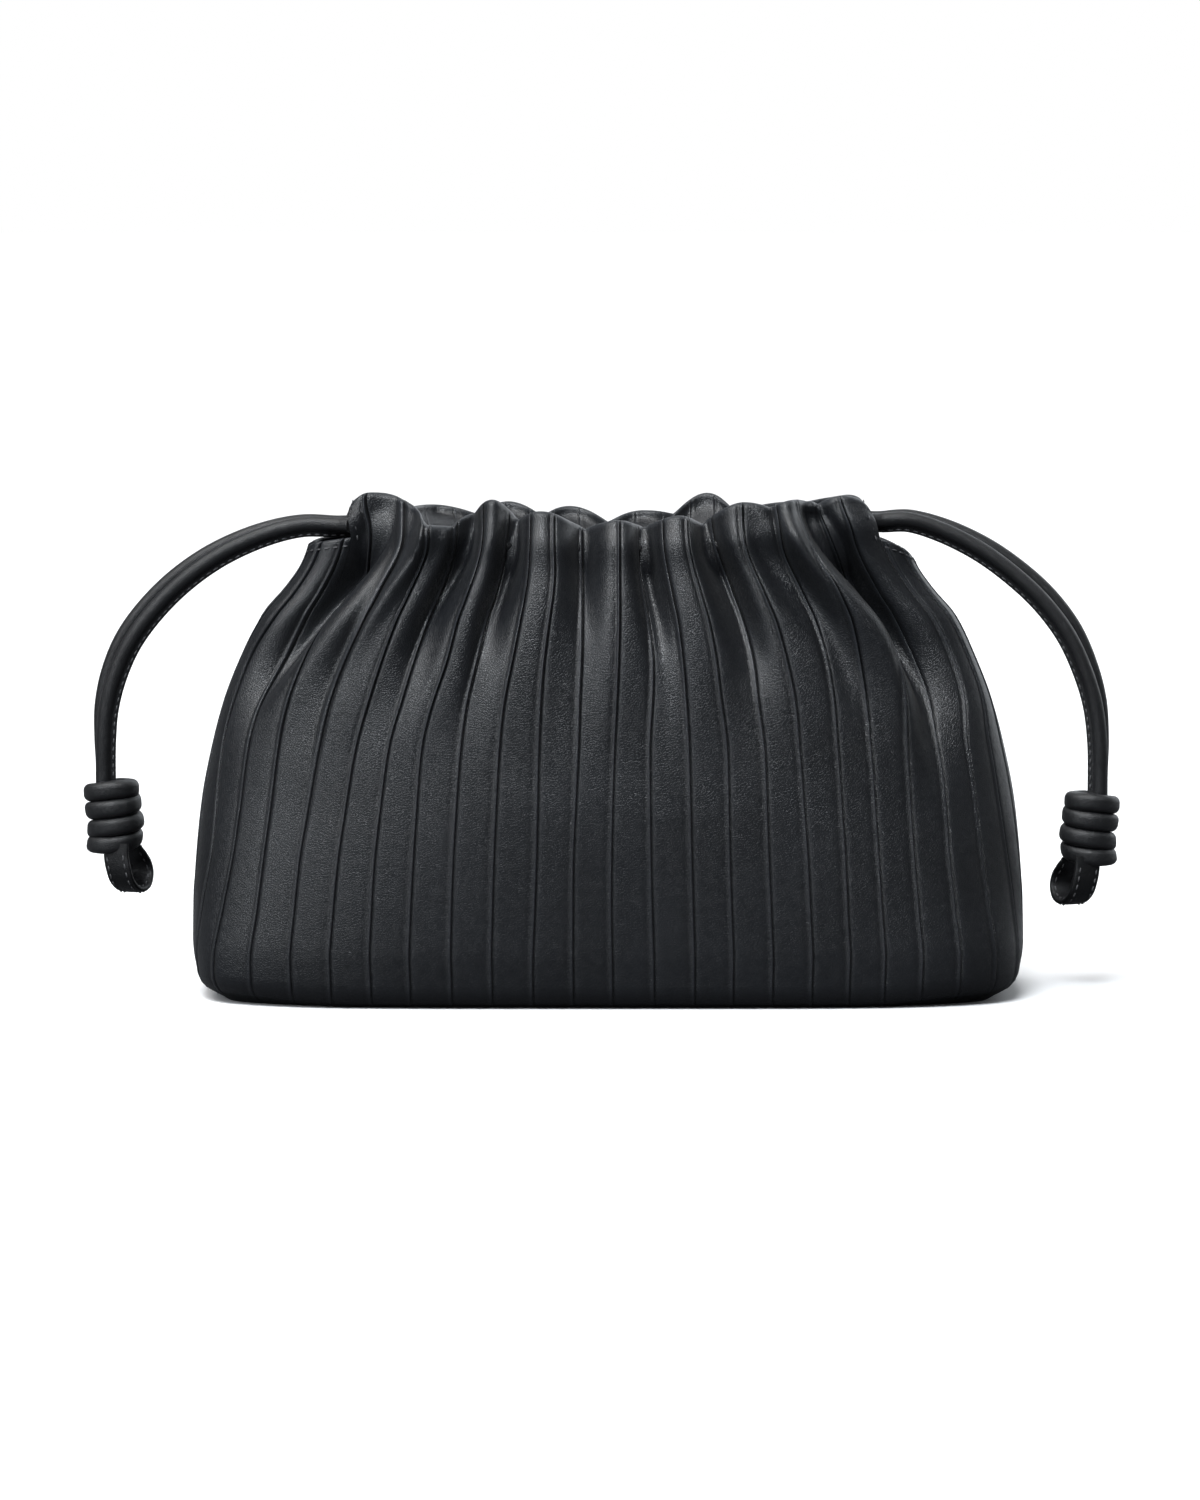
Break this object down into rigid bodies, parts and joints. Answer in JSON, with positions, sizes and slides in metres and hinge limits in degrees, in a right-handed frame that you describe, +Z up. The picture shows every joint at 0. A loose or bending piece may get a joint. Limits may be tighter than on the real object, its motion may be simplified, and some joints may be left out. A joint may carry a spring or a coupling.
{
  "type": "clutch bag",
  "caption": "Pleated leather drawstring clutch with a gathered open mouth, a flat sole, and paired cords that end in coil knots with loops.",
  "frame": {"origin": "middle of the sole's underside, on the surface that the bag stands on", "axes": "+X to the right seen from the front, +Y from the front panel to the back, +Z up through the mouth"},
  "size_m": [0.3765, 0.108, 0.1814],
  "materials": {
    "panel_leather": "black pleated nappa leather with a soft sheen",
    "cord_leather": "black rolled and stitched leather cord",
    "sole_leather": "matt black leather"
  },
  "bodies": {
    "root": {"front_panel": "panel_leather", "back_panel": "panel_leather", "base_panel": "sole_leather", "front_drawcord": "cord_leather", "back_drawcord": "cord_leather", "left_cord_front": "cord_leather", "left_cord_back": "cord_leather", "right_cord_front": "cord_leather", "right_cord_back": "cord_leather", "left_knot": "cord_leather", "left_loop": "cord_leather", "right_knot": "cord_leather", "right_loop": "cord_leather"}
  },
  "joints": []
}
